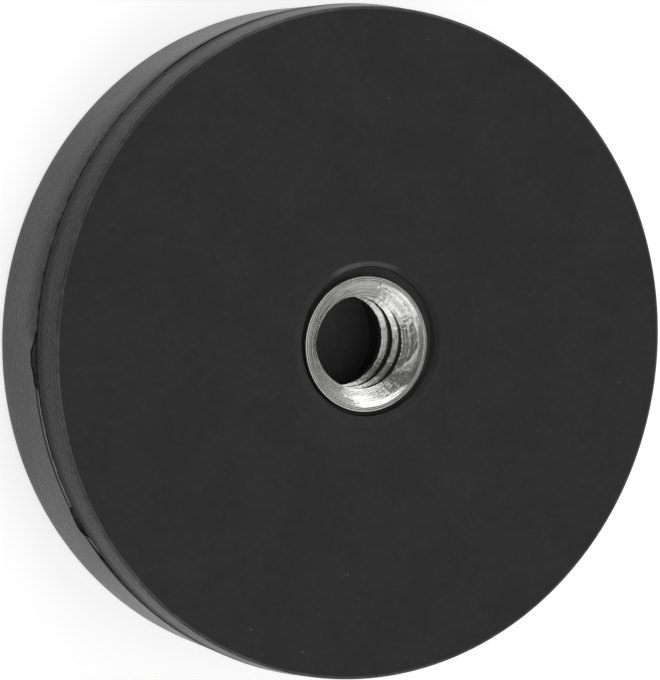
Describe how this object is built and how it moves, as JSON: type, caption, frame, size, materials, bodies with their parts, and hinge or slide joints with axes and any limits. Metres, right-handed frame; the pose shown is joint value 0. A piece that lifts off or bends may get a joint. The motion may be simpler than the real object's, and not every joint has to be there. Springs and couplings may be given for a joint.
{
  "type": "rubber-covered pot magnet with threaded bush",
  "caption": "Flat round magnet in a moulded rubber jacket, with a recessed steel bush and a screw thread in the middle of its back.",
  "frame": {"origin": "middle of the flat magnetic face that the magnet lies on", "axes": "+Z along the thread's axis, out of the threaded face; +X through the first magnet of the ring"},
  "size_m": [0.036, 0.036, 0.0078],
  "materials": {
    "jacket_rubber": "matt black moulded rubber",
    "plate_steel": "zinc plated stamped steel",
    "bush_steel": "turned steel, bright zinc plate",
    "magnet_nickel": "nickel plated sintered magnet"
  },
  "bodies": {
    "root": {"rubber_jacket": "jacket_rubber", "steel_plate": "plate_steel", "threaded_bush": "bush_steel", "magnet_1": "magnet_nickel", "magnet_2": "magnet_nickel", "magnet_3": "magnet_nickel", "magnet_4": "magnet_nickel", "magnet_5": "magnet_nickel", "magnet_6": "magnet_nickel"}
  },
  "joints": []
}
